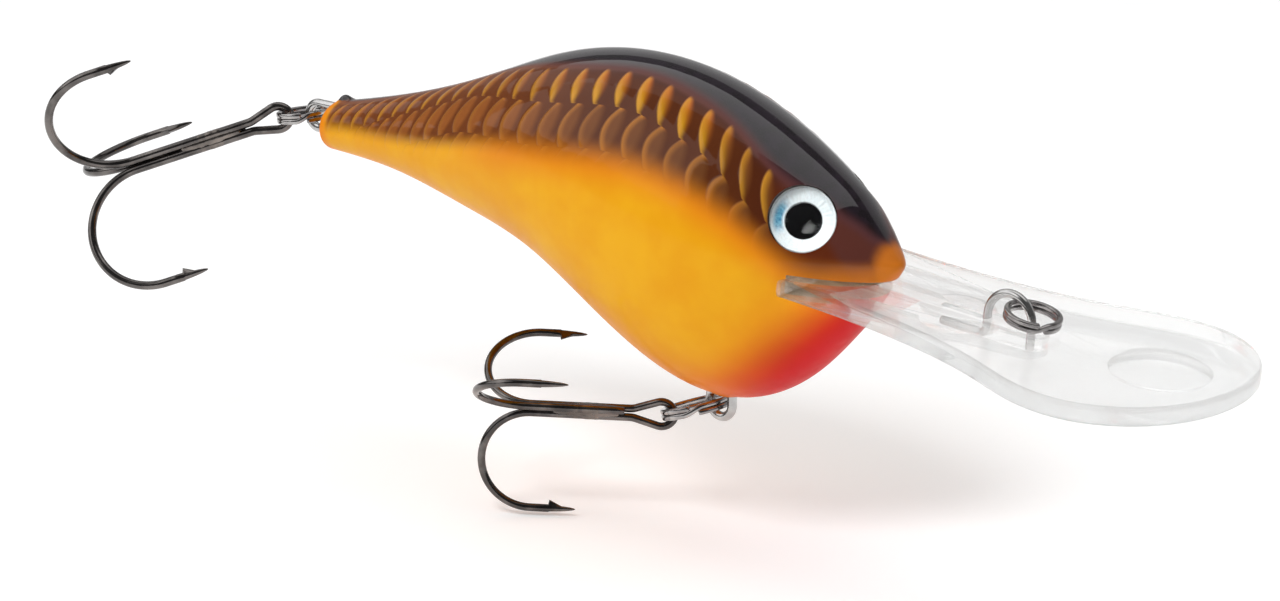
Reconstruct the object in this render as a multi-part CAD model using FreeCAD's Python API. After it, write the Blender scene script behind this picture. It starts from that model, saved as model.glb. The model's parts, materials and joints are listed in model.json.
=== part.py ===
import FreeCAD, Part
import math
import os

# Deep-diving crankbait: a carved wooden body in two glued halves, a clear polycarbonate diving
# lip, a through wire that ends in the tail eye and the belly hanger, split rings and two treble
# hooks. Lengths are millimetres.
#
# Stations are measured from the flat cut of the tail: x forwards to the nose, y to the fish's
# left and z up from the body's datum line. write_node moves every piece so that the origin lies
# in the line tie, where the fishing line pulls.

V = FreeCAD.Vector
TOUCHING = 1e-6

# ---- driving dimensions -------------------------------------------------------------------------

# Carved body: back line, belly line and half width against station
BODY_LENGTH = 70.0
BACK_LINE = [(0, 2.45), (10, 4.9), (20, 8.3), (30, 12.2), (40, 13.7), (50, 12.1), (60, 7.5),
             (64, 5.0), (70, 0.2)]
BELLY_LINE = [(0, -2.3), (10, -2.9), (20, -4.9), (30, -7.9), (40, -13.6), (50, -17.2), (60, -13.6),
              (64, -9.6), (70, -3.0)]
HALF_WIDTHS = [(0, 2.7), (10, 4.4), (20, 6.6), (30, 8.8), (40, 10.1), (50, 10.2), (60, 7.7),
               (64, 5.6), (70, 2.6)]
NOSE_START = 64.0
NOSE_END = 69.8
NOSE_Z = -1.4
SECTION_POINTS = 28
SECTION_STATIONS = [0, 8, 16, 24, 32, 40, 47, 54, 60, 64, 66, 67.6, 68.8, NOSE_END]

# Diving lip: half-width outline against the distance along the lip
LIP_SLOPE_DEG = 5.0
LIP_OUTLINE = [(62, 8.2), (70, 8.3), (78, 9.2), (86, 11.3), (92, 13.4), (97, 13.3), (101.6, 10.4),
               (104.6, 5.3)]
LIP_TIP = 105.4
LIP_THICKNESS = 1.7
LIP_BEVEL = 0.45
DIMPLE_AT = 98.0
DIMPLE_RADIUS = 4.5
DIMPLE_DEPTH = 0.45
RIB_WIDTH = 3.4
RIB_START = 65.0
RIB_END = 86.0
RIB_HEIGHT = 2.6
RIB_END_HEIGHT = 1.0

# Line tie: a wire arch that stands on the lip, with bent feet inside the rib
TIE_X = 81.9
TIE_TOP_Z = -4.0
TIE_WIRE = 0.8
TIE_ARCH_RADIUS = 2.4
TIE_LEG_DEPTH = 2.1
TIE_FOOT_REACH = 7.2
TIE_FOOT_RADIUS = 0.8
TIE_RING_HEIGHT = 1.28

# Through wire with the tail eye and the belly hanger
HARNESS_WIRE = 0.9
TAIL_EYE_X = -2.3
TAIL_EYE_Z = 0.6
TAIL_EYE_RADIUS = 1.25
TAIL_LEG_END = 9.0
HANGER_X = 49.2
HANGER_Z = -18.6
HANGER_RADIUS = 1.3
HANGER_TOP = -6.0
HARNESS_BEND = 4.0

# Ballast cast round the legs of the belly hanger
BALLAST_RADIUS = 4.2
BALLAST_TOP = -8.2
BALLAST_BOTTOM = -14.2

# Rattle chamber that lies across the body
RATTLE_X = 39.0
RATTLE_Z = 6.4
RATTLE_LENGTH = 11.0
RATTLE_RADIUS = 2.9
RATTLE_WALL = 0.35
RATTLE_CAP = 0.8
BALL_RADIUS = 1.9
BALL_GAP = 0.05
BALL_COUNT = 2

# Eyes, given for the fish's left; the right one mirrors it
EYE_CENTRE = (62.09, 4.59, 2.6)
EYE_NORMAL = (0.47, 0.76, 0.45)
EYE_RADIUS = 3.05
PUPIL_RADIUS = 1.7
EYE_SOCKET_DEPTH = 1.5
EYE_SOCKET_CUT = 5.5
IRIS_THICKNESS = 0.4
PUPIL_THICKNESS = 0.2
LENS_PROUD = 0.4
LENS_EDGE = 0.1

# Split rings: centre-line radius, thickness of the wire, width of both turns together, and how
# far the ring leans down from level at rest
RINGS = {
    "line_tie_ring": {"radius": 2.42, "thickness": 0.5, "width": 1.0, "drop": 13.0},
    "belly_split_ring": {"radius": 3.15, "thickness": 0.6, "width": 1.1, "drop": 18.0},
    "tail_split_ring": {"radius": 2.3, "thickness": 0.6, "width": 1.1, "drop": 8.0},
}
RING_FILLET = 0.12

# Treble hooks: azimuth and elevation of the shank's direction from the eye to the bend, and the
# spin of the three hooks about it
TREBLES = {
    "belly": {"ring": "belly_split_ring", "wire": 0.76, "shank": 14.3, "gape": 9.9, "point": 5.25,
              "azimuth": 214.6, "elevation": 1.0, "spin": 331.1},
    "tail": {"ring": "tail_split_ring", "wire": 0.86, "shank": 18.6, "gape": 12.8, "point": 8.0,
             "azimuth": 219.0, "elevation": -19.0, "spin": 241.7},
}
EYE_LOOP_LENGTH = 4.4
EYE_LOOP_WIDTH = 3.7
RING_SEAT_GAP = 0.38
SHANK_SPREAD = 0.64
EYE_CORNER_FLARE = 1.1
EYE_CORNER_RADIUS = 1.3
FORK_RADIUS = 2.0
BRAZE_SPAN = (1.2, 7.6)
BRAZE_SHARE = 0.98
POINT_LENGTH = 2.6
POINT_TIP_RADIUS = 0.02
BARB_START = 1.3
BARB_LENGTH = 1.5
BARB_SPREAD = 0.75
BARB_ROOT_SHARE = 0.28

# ---- shared geometry ----------------------------------------------------------------------------


def unit(vector):
    return vector * (1.0 / vector.Length)


def line_curve(points):
    """A smooth curve whose parameter is the station itself."""
    curve = Part.BSplineCurve()
    places = [V(x, 0, z) for x, z in points]
    curve.interpolate(Points=places, Parameters=[float(x) for x, _ in points])
    return curve


back_curve = line_curve(BACK_LINE)
belly_curve = line_curve(BELLY_LINE)
width_curve = line_curve(HALF_WIDTHS)


def body_section(x):
    """Height of the back, height of the belly and half width at a station, rounded at the nose."""
    top = back_curve.value(x).z
    bottom = belly_curve.value(x).z
    half = width_curve.value(x).z
    if x > NOSE_START:
        close = math.sqrt(1 - ((x - NOSE_START) / (BODY_LENGTH - NOSE_START)) ** 2)
        top = NOSE_Z + (top - NOSE_Z) * close
        bottom = NOSE_Z + (bottom - NOSE_Z) * close
        half = half * close
    return top, bottom, half


def section_wire(x):
    top, bottom, half = body_section(x)
    middle = (top + bottom) / 2
    points = []
    for step in range(SECTION_POINTS):
        angle = 2 * math.pi * step / SECTION_POINTS
        points.append(V(x, half * math.cos(angle), middle + (top - bottom) / 2 * math.sin(angle)))
    outline = Part.BSplineCurve()
    outline.interpolate(Points=points, PeriodicFlag=True)
    return Part.Wire([outline.toShape()])


def line(start, end):
    return Part.LineSegment(start, end).toShape()


def arc(start, through, end):
    return Part.Arc(start, through, end).toShape()


def wire_along(points, radii, diameter):
    """Round wire through straight runs joined by tangent arcs, one radius for each inner point."""
    edges = []
    start = points[0]
    for before, corner, after, radius in zip(points, points[1:], points[2:], radii):
        back, ahead = unit(before - corner), unit(after - corner)
        half_angle = back.getAngle(ahead) / 2
        inwards = unit(back + ahead)
        setback = radius / math.tan(half_angle)
        crown = corner + inwards * (radius / math.sin(half_angle) - radius)
        if (corner + back * setback - start).Length > TOUCHING:
            edges.append(line(start, corner + back * setback))
        edges.append(arc(corner + back * setback, crown, corner + ahead * setback))
        start = corner + ahead * setback
    edges.append(line(start, points[-1]))
    profile = Part.Wire([Part.makeCircle(diameter / 2, points[0], points[1] - points[0])])
    return Part.Wire(edges).makePipeShell([profile], True, False)


def mirrored(shape):
    return shape.mirror(V(0, 0, 0), V(0, 1, 0))


# ---- body, lip and wires ------------------------------------------------------------------------


def make_body_blank():
    return Part.makeLoft([section_wire(x) for x in SECTION_STATIONS], True, False)


lip_slope = math.radians(LIP_SLOPE_DEG)
LIP_ALONG = V(math.cos(lip_slope), 0, -math.sin(lip_slope))
LIP_UP = V(math.sin(lip_slope), 0, math.cos(lip_slope))


def on_lip(along, across, up=0.0):
    """A point given along and across the lip, and above its top face."""
    return V(TIE_X, 0, TIE_TOP_Z) + LIP_ALONG * (along - TIE_X) + V(0, across, 0) + LIP_UP * up


def make_lip():
    near = [on_lip(x, -y) for x, y in LIP_OUTLINE]
    far = [on_lip(x, y) for x, y in reversed(LIP_OUTLINE)]
    outline = Part.BSplineCurve()
    outline.interpolate(Points=near + [on_lip(LIP_TIP, 0)] + far)
    face = Part.Face(Part.Wire([outline.toShape(), line(far[-1], near[0])]))
    blade = face.extrude(LIP_UP * -LIP_THICKNESS)
    rims = [edge for edge in blade.Edges if edge.Length > BODY_LENGTH]
    blade = blade.makeChamfer(LIP_BEVEL, rims)
    dimple_floor = on_lip(DIMPLE_AT, 0, -DIMPLE_DEPTH)
    dimple = Part.makeCylinder(DIMPLE_RADIUS, DIMPLE_DEPTH, dimple_floor, LIP_UP)
    corners = [
        on_lip(RIB_START, 0, -LIP_THICKNESS / 2),
        on_lip(RIB_END, 0, -LIP_THICKNESS / 2),
        on_lip(RIB_END, 0, -LIP_THICKNESS - RIB_END_HEIGHT),
        on_lip(RIB_START, 0, -LIP_THICKNESS - RIB_HEIGHT),
    ]
    web = Part.Face(Part.makePolygon(corners + corners[:1]))
    web.translate(V(0, -RIB_WIDTH / 2, 0))
    rib = web.extrude(V(0, RIB_WIDTH, 0))
    return blade.cut(dimple).fuse(rib).removeSplitter()


def make_line_tie():
    radius, depth = TIE_ARCH_RADIUS, -TIE_LEG_DEPTH
    points = [
        on_lip(TIE_X - TIE_FOOT_REACH, 0, depth),
        on_lip(TIE_X - radius, 0, depth),
        on_lip(TIE_X - radius, 0, radius),
        on_lip(TIE_X + radius, 0, radius),
        on_lip(TIE_X + radius, 0, depth),
    ]
    return wire_along(points, [TIE_FOOT_RADIUS, radius, radius], TIE_WIRE)


def make_through_wire():
    eye, hang = TAIL_EYE_RADIUS, HANGER_RADIUS
    low, high, end = TAIL_EYE_Z - eye, TAIL_EYE_Z + eye, TAIL_EYE_X - eye
    foot = HANGER_Z - hang
    points = [
        V(TAIL_LEG_END, 0, low),
        V(end, 0, low),
        V(end, 0, high),
        V(HANGER_X - hang, 0, high),
        V(HANGER_X - hang, 0, foot),
        V(HANGER_X + hang, 0, foot),
        V(HANGER_X + hang, 0, HANGER_TOP),
    ]
    return wire_along(points, [eye, eye, HARNESS_BEND, hang, hang], HARNESS_WIRE)


def make_ballast(through_wire):
    height = BALLAST_TOP - BALLAST_BOTTOM
    slug = Part.makeCylinder(BALLAST_RADIUS, height, V(HANGER_X, 0, BALLAST_BOTTOM), V(0, 0, 1))
    return slug.cut(through_wire)


# ---- rattle -------------------------------------------------------------------------------------


def across_cylinder(radius, y_from, y_to):
    return Part.makeCylinder(radius, y_to - y_from, V(RATTLE_X, y_from, RATTLE_Z), V(0, 1, 0))


def make_rattle():
    """The tube, its two end caps and its loose balls."""
    half = RATTLE_LENGTH / 2
    bore = RATTLE_RADIUS - RATTLE_WALL
    tube = across_cylinder(RATTLE_RADIUS, -half, half).cut(across_cylinder(bore, -half, half))
    left_cap = across_cylinder(bore, half - RATTLE_CAP, half)
    pitch = 2 * BALL_RADIUS + BALL_GAP
    balls = []
    for index in range(BALL_COUNT):
        y = (index - (BALL_COUNT - 1) / 2) * pitch
        balls.append(Part.makeSphere(BALL_RADIUS, V(RATTLE_X, y, RATTLE_Z)))
    return {
        "rattle_tube": tube,
        "rattle_cap_left": left_cap,
        "rattle_cap_right": mirrored(left_cap),
        "rattle_balls": Part.makeCompound(balls),
    }


# ---- eyes ---------------------------------------------------------------------------------------


def make_left_eye():
    """Socket to cut from the head, then the iris disc, the pupil disc and the domed lens."""
    centre = V(*EYE_CENTRE)
    out = unit(V(*EYE_NORMAL))
    floor = centre - out * EYE_SOCKET_DEPTH
    lens_base = floor + out * IRIS_THICKNESS
    socket = Part.makeCylinder(EYE_RADIUS, EYE_SOCKET_CUT, floor, out)
    iris = Part.makeCylinder(EYE_RADIUS, IRIS_THICKNESS, floor, out)
    pupil = Part.makeCylinder(PUPIL_RADIUS, PUPIL_THICKNESS, lens_base, out)
    rise = LENS_PROUD - LENS_EDGE
    dome_radius = (EYE_RADIUS ** 2 + rise ** 2) / (2 * rise)
    dome = Part.makeSphere(dome_radius, centre + out * (LENS_PROUD - dome_radius))
    blank = Part.makeCylinder(EYE_RADIUS, EYE_SOCKET_CUT, lens_base, out)
    lens = blank.common(dome).cut(pupil)
    return socket, {"iris": iris, "pupil": pupil, "lens": lens}


# ---- rings and trebles --------------------------------------------------------------------------


RING_PIVOTS = {
    "line_tie_ring": on_lip(TIE_X, 0, TIE_RING_HEIGHT),
    "belly_split_ring": V(HANGER_X, 0, HANGER_Z),
    "tail_split_ring": V(TAIL_EYE_X, 0, TAIL_EYE_Z),
}


def ring_direction(name):
    """From the ring's pivot towards its centre: the line tie's ring lies forwards, the others aft."""
    drop = math.radians(RINGS[name]["drop"])
    forwards = 1 if name == "line_tie_ring" else -1
    return V(forwards * math.cos(drop), 0, -math.sin(drop))


def ring_centre(name):
    return RING_PIVOTS[name] + ring_direction(name) * RINGS[name]["radius"]


def ring_normal(name):
    return ring_direction(name).cross(V(0, -1, 0))


def make_ring(name):
    size = RINGS[name]
    radius, thick, width = size["radius"], size["thickness"], size["width"]
    outer = Part.makeCylinder(radius + thick / 2, width, V(0, 0, -width / 2))
    inner = Part.makeCylinder(radius - thick / 2, width, V(0, 0, -width / 2))
    ring = outer.cut(inner)
    rims = [edge for edge in ring.Edges if len(edge.Vertexes) == 1]
    ring = ring.makeFillet(RING_FILLET, rims)
    turn = FreeCAD.Rotation(V(0, 0, 1), ring_normal(name))
    ring.Placement = FreeCAD.Placement(ring_centre(name), turn)
    return ring


def treble_frame(name):
    """Fork point, shank direction, the eye loop's sideways direction and the three hook directions."""
    size = TREBLES[name]
    ring = size["ring"]
    azimuth = math.radians(size["azimuth"])
    elevation = math.radians(size["elevation"])
    level = V(math.cos(azimuth), math.sin(azimuth), 0)
    shank = level * math.cos(elevation) + V(0, 0, math.sin(elevation))
    aft, right = ring_direction(ring), V(0, -1, 0)
    turn = math.atan2(shank.dot(right), shank.dot(aft))
    radius = RINGS[ring]["radius"]
    seat = ring_centre(ring) + (aft * math.cos(turn) + right * math.sin(turn)) * radius
    tangent = right * math.cos(turn) - aft * math.sin(turn)
    side = unit(tangent.cross(shank))
    reach = EYE_LOOP_LENGTH - size["wire"] - RINGS[ring]["thickness"] / 2 - RING_SEAT_GAP
    fork = seat + shank * reach
    across = unit(shank.cross(V(0, 0, 1)))
    over = shank.cross(across)
    hooks = []
    for index in range(3):
        angle = math.radians(size["spin"] + 120 * index)
        hooks.append(across * math.cos(angle) + over * math.sin(angle))
    return fork, shank, side, hooks


def hook_line(size, fork, shank, out, start):
    """The inner points of one hook, from its shank to the root of its point, and their radii."""
    offset, gape, length = SHANK_SPREAD * size["wire"], size["gape"], size["shank"]
    radius = (gape - offset) / 2
    spots = [(start, offset), (length, offset), (length, gape), (size["point"] + POINT_LENGTH, gape)]
    return [fork + shank * along + out * radial for along, radial in spots], [radius, radius]


def make_point(size, fork, shank, out):
    """The ground point that carries the wire on, and the barb raised on its inner side."""
    wire = size["wire"]
    root = fork + shank * (size["point"] + POINT_LENGTH) + out * size["gape"]
    point = Part.makeCone(wire / 2, POINT_TIP_RADIUS, POINT_LENGTH, root, shank * -1)
    barb_root = root - shank * (POINT_LENGTH - BARB_START)
    barb_axis = shank * BARB_LENGTH - out * BARB_SPREAD
    barb = Part.makeCone(wire * BARB_ROOT_SHARE, POINT_TIP_RADIUS, barb_axis.Length, barb_root, barb_axis)
    return point.fuse(barb)


def eye_loop_line(size, fork, shank, side):
    """The two far corners of the teardrop eye, on either side of the shank's line."""
    reach = EYE_LOOP_LENGTH - size["wire"] / 2
    half = (EYE_LOOP_WIDTH - size["wire"]) / 2 * EYE_CORNER_FLARE
    return [fork - shank * reach + side * half, fork - shank * reach - side * half]


def make_treble(name):
    """The double hook with its eye, the third hook and the braze that fills between the shanks."""
    size = TREBLES[name]
    wire = size["wire"]
    fork, shank, side, hooks = treble_frame(name)
    pairs = [(0, 1, 2), (1, 2, 0), (2, 0, 1), (1, 0, 2), (2, 1, 0), (0, 2, 1)]
    first, second, third = max(pairs, key=lambda pair: (hooks[pair[0]] - hooks[pair[1]]).dot(side))
    near, bends = hook_line(size, fork, shank, hooks[first], 0)
    far, _ = hook_line(size, fork, shank, hooks[second], 0)
    loop = eye_loop_line(size, fork, shank, side)
    radii = bends + [FORK_RADIUS, EYE_CORNER_RADIUS, EYE_CORNER_RADIUS, FORK_RADIUS] + bends
    double = wire_along(near[::-1] + loop + far, radii, wire)
    double = double.fuse([make_point(size, fork, shank, hooks[index]) for index in (first, second)])
    lone, bends = hook_line(size, fork, shank, hooks[third], wire)
    single = wire_along(lone, bends, wire).fuse(make_point(size, fork, shank, hooks[third]))
    start, end = BRAZE_SPAN
    braze = Part.makeCylinder(wire * BRAZE_SHARE, end - start, fork + shank * start, shank)
    braze = braze.cut([double, single])
    return {
        name + "_double_hook": double,
        name + "_third_hook": single,
        name + "_hook_braze": braze,
    }


# ---- assembly -----------------------------------------------------------------------------------


def write_node(name, shape):
    moved = shape.copy()
    moved.translate(RING_PIVOTS["line_tie_ring"] * -1)
    moved.exportStep("parts/" + name + ".step")


def main():
    os.makedirs("parts", exist_ok=True)
    nodes = {}
    nodes["line_tie_wire"] = make_line_tie()
    nodes["diving_lip"] = make_lip().cut(nodes["line_tie_wire"])
    nodes["through_wire"] = make_through_wire()
    nodes["ballast_weight"] = make_ballast(nodes["through_wire"])
    nodes.update(make_rattle())

    socket, left_eye = make_left_eye()
    for piece, shape in left_eye.items():
        nodes["left_eye_" + piece] = shape
        nodes["right_eye_" + piece] = mirrored(shape)

    chamber = across_cylinder(RATTLE_RADIUS, -RATTLE_LENGTH / 2, RATTLE_LENGTH / 2)
    hollows = [make_lip(), nodes["through_wire"], nodes["ballast_weight"], chamber]
    blank = make_body_blank().cut(hollows + [socket, mirrored(socket)])
    reach = 2 * BODY_LENGTH
    half_space = Part.makeBox(2 * reach, reach, 2 * reach, V(-reach, 0, -reach))
    nodes["body_left_half"] = blank.common(half_space)
    nodes["body_right_half"] = blank.cut(half_space)

    for name in RINGS:
        nodes[name] = make_ring(name)
    for name in TREBLES:
        nodes.update(make_treble(name))

    for name, shape in nodes.items():
        write_node(name, shape)
        print(name, len(shape.Solids), "solid", round(shape.Volume, 2), "mm3", shape.isValid())


main()
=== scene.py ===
import json
import math

import bpy
import numpy as np
from mathutils import Matrix, Vector


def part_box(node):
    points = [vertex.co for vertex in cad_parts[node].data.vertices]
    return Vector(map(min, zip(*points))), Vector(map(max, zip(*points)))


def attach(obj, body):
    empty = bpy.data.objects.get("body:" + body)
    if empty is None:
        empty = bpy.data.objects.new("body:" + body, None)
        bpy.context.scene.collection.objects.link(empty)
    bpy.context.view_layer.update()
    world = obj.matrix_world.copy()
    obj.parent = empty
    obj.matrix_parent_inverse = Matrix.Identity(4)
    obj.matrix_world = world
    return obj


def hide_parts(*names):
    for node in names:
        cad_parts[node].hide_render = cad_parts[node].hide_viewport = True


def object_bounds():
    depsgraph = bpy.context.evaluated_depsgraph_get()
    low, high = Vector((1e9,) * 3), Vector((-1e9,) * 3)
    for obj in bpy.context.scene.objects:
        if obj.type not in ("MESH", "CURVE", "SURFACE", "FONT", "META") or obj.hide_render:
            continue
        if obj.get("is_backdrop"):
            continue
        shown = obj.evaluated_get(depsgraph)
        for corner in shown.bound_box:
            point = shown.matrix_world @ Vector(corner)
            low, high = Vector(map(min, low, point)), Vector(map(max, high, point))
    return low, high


# The looks of the deep-diving crankbait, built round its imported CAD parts. Lengths are millimetres in
# the lure's own stations: x forwards from the tail cut, y to the fish's left, z up from the datum
# line. make_piece turns them into the row frame's metres.

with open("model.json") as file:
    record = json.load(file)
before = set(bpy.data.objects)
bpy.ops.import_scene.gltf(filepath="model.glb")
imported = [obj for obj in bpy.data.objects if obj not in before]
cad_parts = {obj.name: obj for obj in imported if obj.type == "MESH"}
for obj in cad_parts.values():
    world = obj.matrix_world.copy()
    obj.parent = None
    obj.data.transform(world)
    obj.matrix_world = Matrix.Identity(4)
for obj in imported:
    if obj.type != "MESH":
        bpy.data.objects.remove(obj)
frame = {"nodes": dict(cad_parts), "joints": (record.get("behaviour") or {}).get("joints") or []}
cad_low, cad_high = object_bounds()

MM = 0.001
TAIL_EYE_Z = 0.6
JOINTS = {joint["name"]: joint for joint in frame["joints"]}


def find_origin():
    """The row frame's origin in stations, read from where the tail cut and the tail eye are."""
    tail_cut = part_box("body_left_half")[0].x / MM
    tail_eye = JOINTS["tail_ring_swing"]["pos_m"][2] / MM
    return np.array([-tail_cut, 0.0, TAIL_EYE_Z - tail_eye])


ORIGIN = find_origin()

# ---- sizes shared with the CAD parts ----

BACK_LINE = [(0, 2.45), (10, 4.9), (20, 8.3), (30, 12.2), (40, 13.7), (50, 12.1), (60, 7.5),
             (64, 5.0), (70, 0.2)]
BELLY_LINE = [(0, -2.3), (10, -2.9), (20, -4.9), (30, -7.9), (40, -13.6), (50, -17.2), (60, -13.6),
              (64, -9.6), (70, -3.0)]
HALF_WIDTHS = [(0, 2.7), (10, 4.4), (20, 6.6), (30, 8.8), (40, 10.1), (50, 10.2), (60, 7.7),
               (64, 5.6), (70, 2.6)]
BODY_LENGTH = 70.0
NOSE_START = 64.0
NOSE_Z = -1.4

LIP_SLOPE = math.radians(5.0)
LIP_OUTLINE = [(62, 8.2), (70, 8.3), (78, 9.2), (86, 11.3), (92, 13.4), (97, 13.3), (101.6, 10.4),
               (104.6, 5.3)]
LIP_TIP = 105.4
LIP_THICKNESS = 1.7
SLOT_START = 61.85
SLOT_END = 72.5
SLOT_HALF_WIDTH = 9.6
SLOT_GAP = 0.04
DIMPLE_AT = 98.0
DIMPLE_RADIUS = 4.5
DIMPLE_DEPTH = 0.45

TIE_X = 81.9
TIE_TOP_Z = -4.0
TIE_WIRE = 0.8
TIE_ARCH_RADIUS = 2.4
TIE_PIVOT_HEIGHT = 1.28
TIE_LEG_DEPTH = 2.1
TIE_FOOT_REACH = 7.2
TIE_FOOT_BEND = 0.8

HARNESS_WIRE = 0.9
HARNESS_START_X = 9.0
HARNESS_END_Z = -6.0
HARNESS_BEND = 4.0
TAIL_EYE_X = -2.3
TAIL_EYE_RADIUS = 1.25
HANGER_X = 49.2
HANGER_Z = -18.6
HANGER_RADIUS = 1.3

EYE_CENTRE = np.array([62.09, 4.59, 2.6])
EYE_NORMAL = np.array([0.47, 0.76, 0.45])
EYE_RADIUS = 3.05
PUPIL_RADIUS = 1.7
EYE_SOCKET_DEPTH = 1.5
LENS_PROUD = 0.4

# step is the angle, in radians, at which the coil passes from its first turn to its second
RINGS = {
    "line_tie_ring": {"radius": 2.42, "thickness": 0.5, "width": 1.0, "drop": 13.0, "step": 0.6,
                      "body": "line_tie_ring_body"},
    "belly_split_ring": {"radius": 3.15, "thickness": 0.6, "width": 1.1, "drop": 18.0, "step": 2.2,
                         "body": "belly_ring_body"},
    "tail_split_ring": {"radius": 2.3, "thickness": 0.6, "width": 1.1, "drop": 8.0, "step": 2.4,
                        "body": "tail_ring_body"},
}
TREBLES = {
    "belly": {"ring": "belly_split_ring", "wire": 0.76, "shank": 14.3, "gape": 9.9, "point": 5.25,
              "azimuth": 214.6, "elevation": 1.0, "spin": 331.1},
    "tail": {"ring": "tail_split_ring", "wire": 0.86, "shank": 18.6, "gape": 12.8, "point": 8.0,
             "azimuth": 219.0, "elevation": -19.0, "spin": 241.7},
}
EYE_LOOP_LENGTH = 4.4
EYE_LOOP_WIDTH = 3.7
RING_SEAT_GAP = 0.38
SHANK_SPREAD = 0.64
EYE_CORNER_FLARE = 1.1
EYE_CORNER_RADIUS = 1.3
FORK_RADIUS = 2.0
BRAZE_SPAN = (1.2, 7.6)
POINT_LENGTH = 2.6
WIRE_SIDES = 24
WIRE_END_ROUND = 0.3

# ---- geometry helpers ----


def unit(vectors):
    """One vector, or each row of several, at length one."""
    vectors = np.asarray(vectors, float)
    return vectors / np.linalg.norm(vectors, axis=-1, keepdims=True)


def full_turn(count):
    return np.linspace(0, 2 * math.pi, count, endpoint=False)


def smooth_step(low, high, value):
    share = np.clip((np.asarray(value, float) - low) / (high - low), 0, 1)
    return share * share * (3 - 2 * share)


def natural_spline(points):
    """A twice smooth curve through (x, y) points, as a function of x."""
    x, y = np.array(points, float).T
    gap = np.diff(x)
    matrix = np.eye(len(x))
    bend = np.zeros(len(x))
    for i in range(1, len(x) - 1):
        matrix[i, i - 1:i + 2] = gap[i - 1], 2 * (gap[i - 1] + gap[i]), gap[i]
        bend[i] = 6 * ((y[i + 1] - y[i]) / gap[i] - (y[i] - y[i - 1]) / gap[i - 1])
    moment = np.linalg.solve(matrix, bend)

    def curve(at):
        at = np.asarray(at, float)
        i = np.clip(np.searchsorted(x, at) - 1, 0, len(gap) - 1)
        after, before, h = at - x[i], x[i + 1] - at, gap[i]
        cubic = (moment[i] * before ** 3 + moment[i + 1] * after ** 3) / (6 * h)
        near = (y[i] / h - moment[i] * h / 6) * before
        far = (y[i + 1] / h - moment[i + 1] * h / 6) * after
        return cubic + near + far

    return curve


def grid_faces(rows, columns, closed=True):
    """Quads of a grid whose vertices run column by column along each row."""
    faces = []
    for first in range(0, (rows - 1) * columns, columns):
        for j in range(columns if closed else columns - 1):
            k = (j + 1) % columns
            faces.append((first + j, first + k, first + columns + k, first + columns + j))
    return faces


def make_mesh(name, points, faces):
    """A mesh in the row frame from points in stations, with its faces turned outwards."""
    mesh = bpy.data.meshes.new(name)
    mesh.from_pydata(((np.asarray(points, float) - ORIGIN) * MM).tolist(), [], faces)
    if signed_volume(mesh) < 0:
        mesh.flip_normals()
    mesh.shade_smooth()
    mesh.validate()
    return mesh


def signed_volume(mesh):
    mesh.calc_loop_triangles()
    corners = np.zeros(3 * len(mesh.loop_triangles), np.int32)
    mesh.loop_triangles.foreach_get("vertices", corners)
    places = np.zeros(3 * len(mesh.vertices))
    mesh.vertices.foreach_get("co", places)
    a, b, c = places.reshape(-1, 3)[corners.reshape(-1, 3)].transpose(1, 0, 2)
    return float(np.einsum("ij,ij->", np.cross(a, b), c))


def make_object(name, mesh, *materials):
    piece = bpy.data.objects.new(name, mesh)
    bpy.context.scene.collection.objects.link(piece)
    for material in materials:
        mesh.materials.append(material)
    return piece


def rounded_route(corners, radii, pitch=0.12):
    """Points along straight runs joined by tangent arcs, one radius for each inner corner."""
    corners = [np.asarray(corner, float) for corner in corners]
    pieces = []
    start = corners[0]
    for before, corner, after, radius in zip(corners, corners[1:], corners[2:], radii):
        back, ahead = unit(before - corner), unit(after - corner)
        half = math.acos(float(np.clip(back @ ahead, -1, 1))) / 2
        setback = radius / math.tan(half)
        centre = corner + unit(back + ahead) * radius / math.sin(half)
        first = corner + back * setback
        pieces.append(straight(start, first, pitch * 4))
        sweep = math.pi - 2 * half
        along, across = -back, unit(first - centre)
        angles = np.linspace(0, sweep, max(4, int(sweep * radius / pitch)), endpoint=False)
        turns = np.sin(angles)[:, None] * along + np.cos(angles)[:, None] * across
        pieces.append(centre + radius * turns)
        start = corner + ahead * setback
    pieces.append(straight(start, corners[-1], pitch * 4))
    pieces.append(corners[-1][None])
    return np.vstack([piece for piece in pieces if len(piece)])


def straight(start, end, pitch):
    """Evenly spaced points from start up to, but without, end."""
    length = np.linalg.norm(end - start)
    if length < 1e-6:
        return np.zeros((0, 3))
    steps = max(1, int(round(length / pitch)))
    return start + np.linspace(0, 1, steps, endpoint=False)[:, None] * (end - start)


def wire_spokes(path, count):
    """Spokes square to a path at each of its points, carried along it without twist."""
    tangents = unit(np.gradient(path, axis=0))
    helper = np.eye(3)[np.argmin(abs(tangents[0]))]
    side = unit(np.cross(tangents[0], helper))
    sides = []
    for tangent in tangents:
        side = unit(side - tangent * (side @ tangent))
        sides.append(side)
    overs = np.cross(tangents, np.array(sides))
    angles = full_turn(count)[:, None]
    return np.cos(angles) * np.array(sides)[:, None] + np.sin(angles) * overs[:, None]


def capped_rings(rings):
    """A closed shell from rings of points, each end drawn to the middle of its last ring."""
    rows, columns = rings.shape[:2]
    points = np.vstack([rings.reshape(-1, 3), rings[0].mean(0)[None], rings[-1].mean(0)[None]])
    faces = grid_faces(rows, columns)
    first, last = rows * columns, rows * columns + 1
    for j in range(columns):
        k = (j + 1) % columns
        faces.append((first, k, j))
        faces.append((last, (rows - 1) * columns + j, (rows - 1) * columns + k))
    return points, faces


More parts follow.
